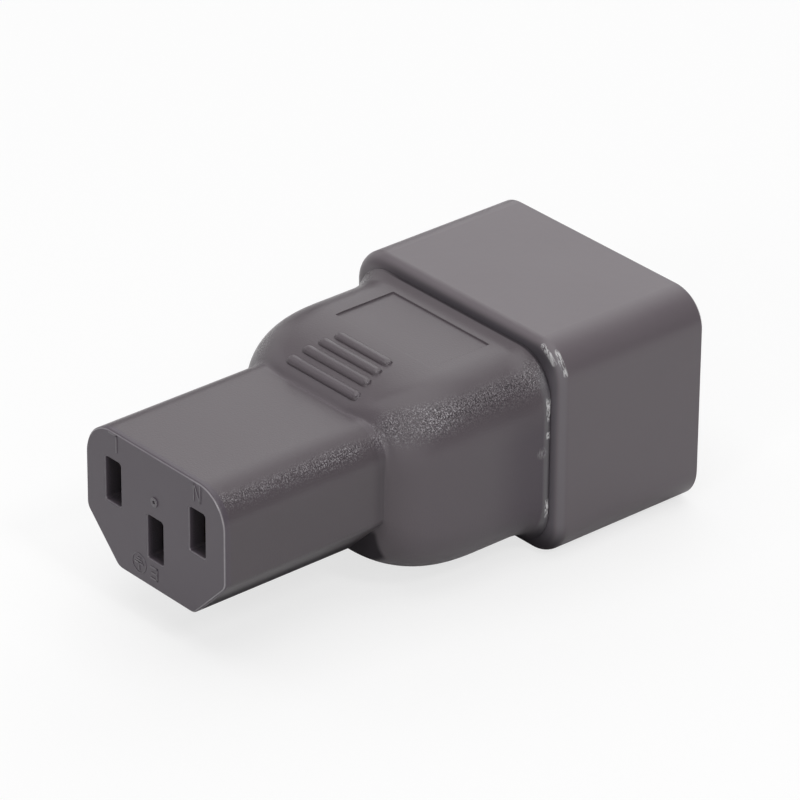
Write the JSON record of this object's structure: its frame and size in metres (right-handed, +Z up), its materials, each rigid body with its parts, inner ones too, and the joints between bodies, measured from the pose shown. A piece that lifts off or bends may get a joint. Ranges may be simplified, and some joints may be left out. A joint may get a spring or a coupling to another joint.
{
  "type": "iec power adapter",
  "caption": "Moulded mains adapter that joins a slotted female outlet nose, through a textured grip with thumb ribs, to a shrouded inlet with flat blades.",
  "frame": {"origin": "centre of the overall box in plan, at the lowest face of the inlet shroud", "axes": "+X right when facing the outlet, +Y from the outlet face to the inlet rim, +Z up with the earth slot below the line and neutral slots"},
  "size_m": [0.0336, 0.0622, 0.0255],
  "materials": {
    "overmold": "spark-eroded fine texture, mid grey",
    "shroud": "smooth satin, mid grey",
    "core": "smooth satin, mid grey",
    "contact": "bright strip",
    "blade": "nickel plated, satin"
  },
  "bodies": {
    "root": {"grip_overmold": "overmold", "inlet_shroud": "shroud", "outlet_core": "core", "outlet_core_cap": "core", "line_contact": "contact", "neutral_contact": "contact", "earth_contact": "contact", "line_blade": "blade", "neutral_blade": "blade", "earth_blade": "blade", "contact_rivets": "contact"}
  },
  "joints": []
}
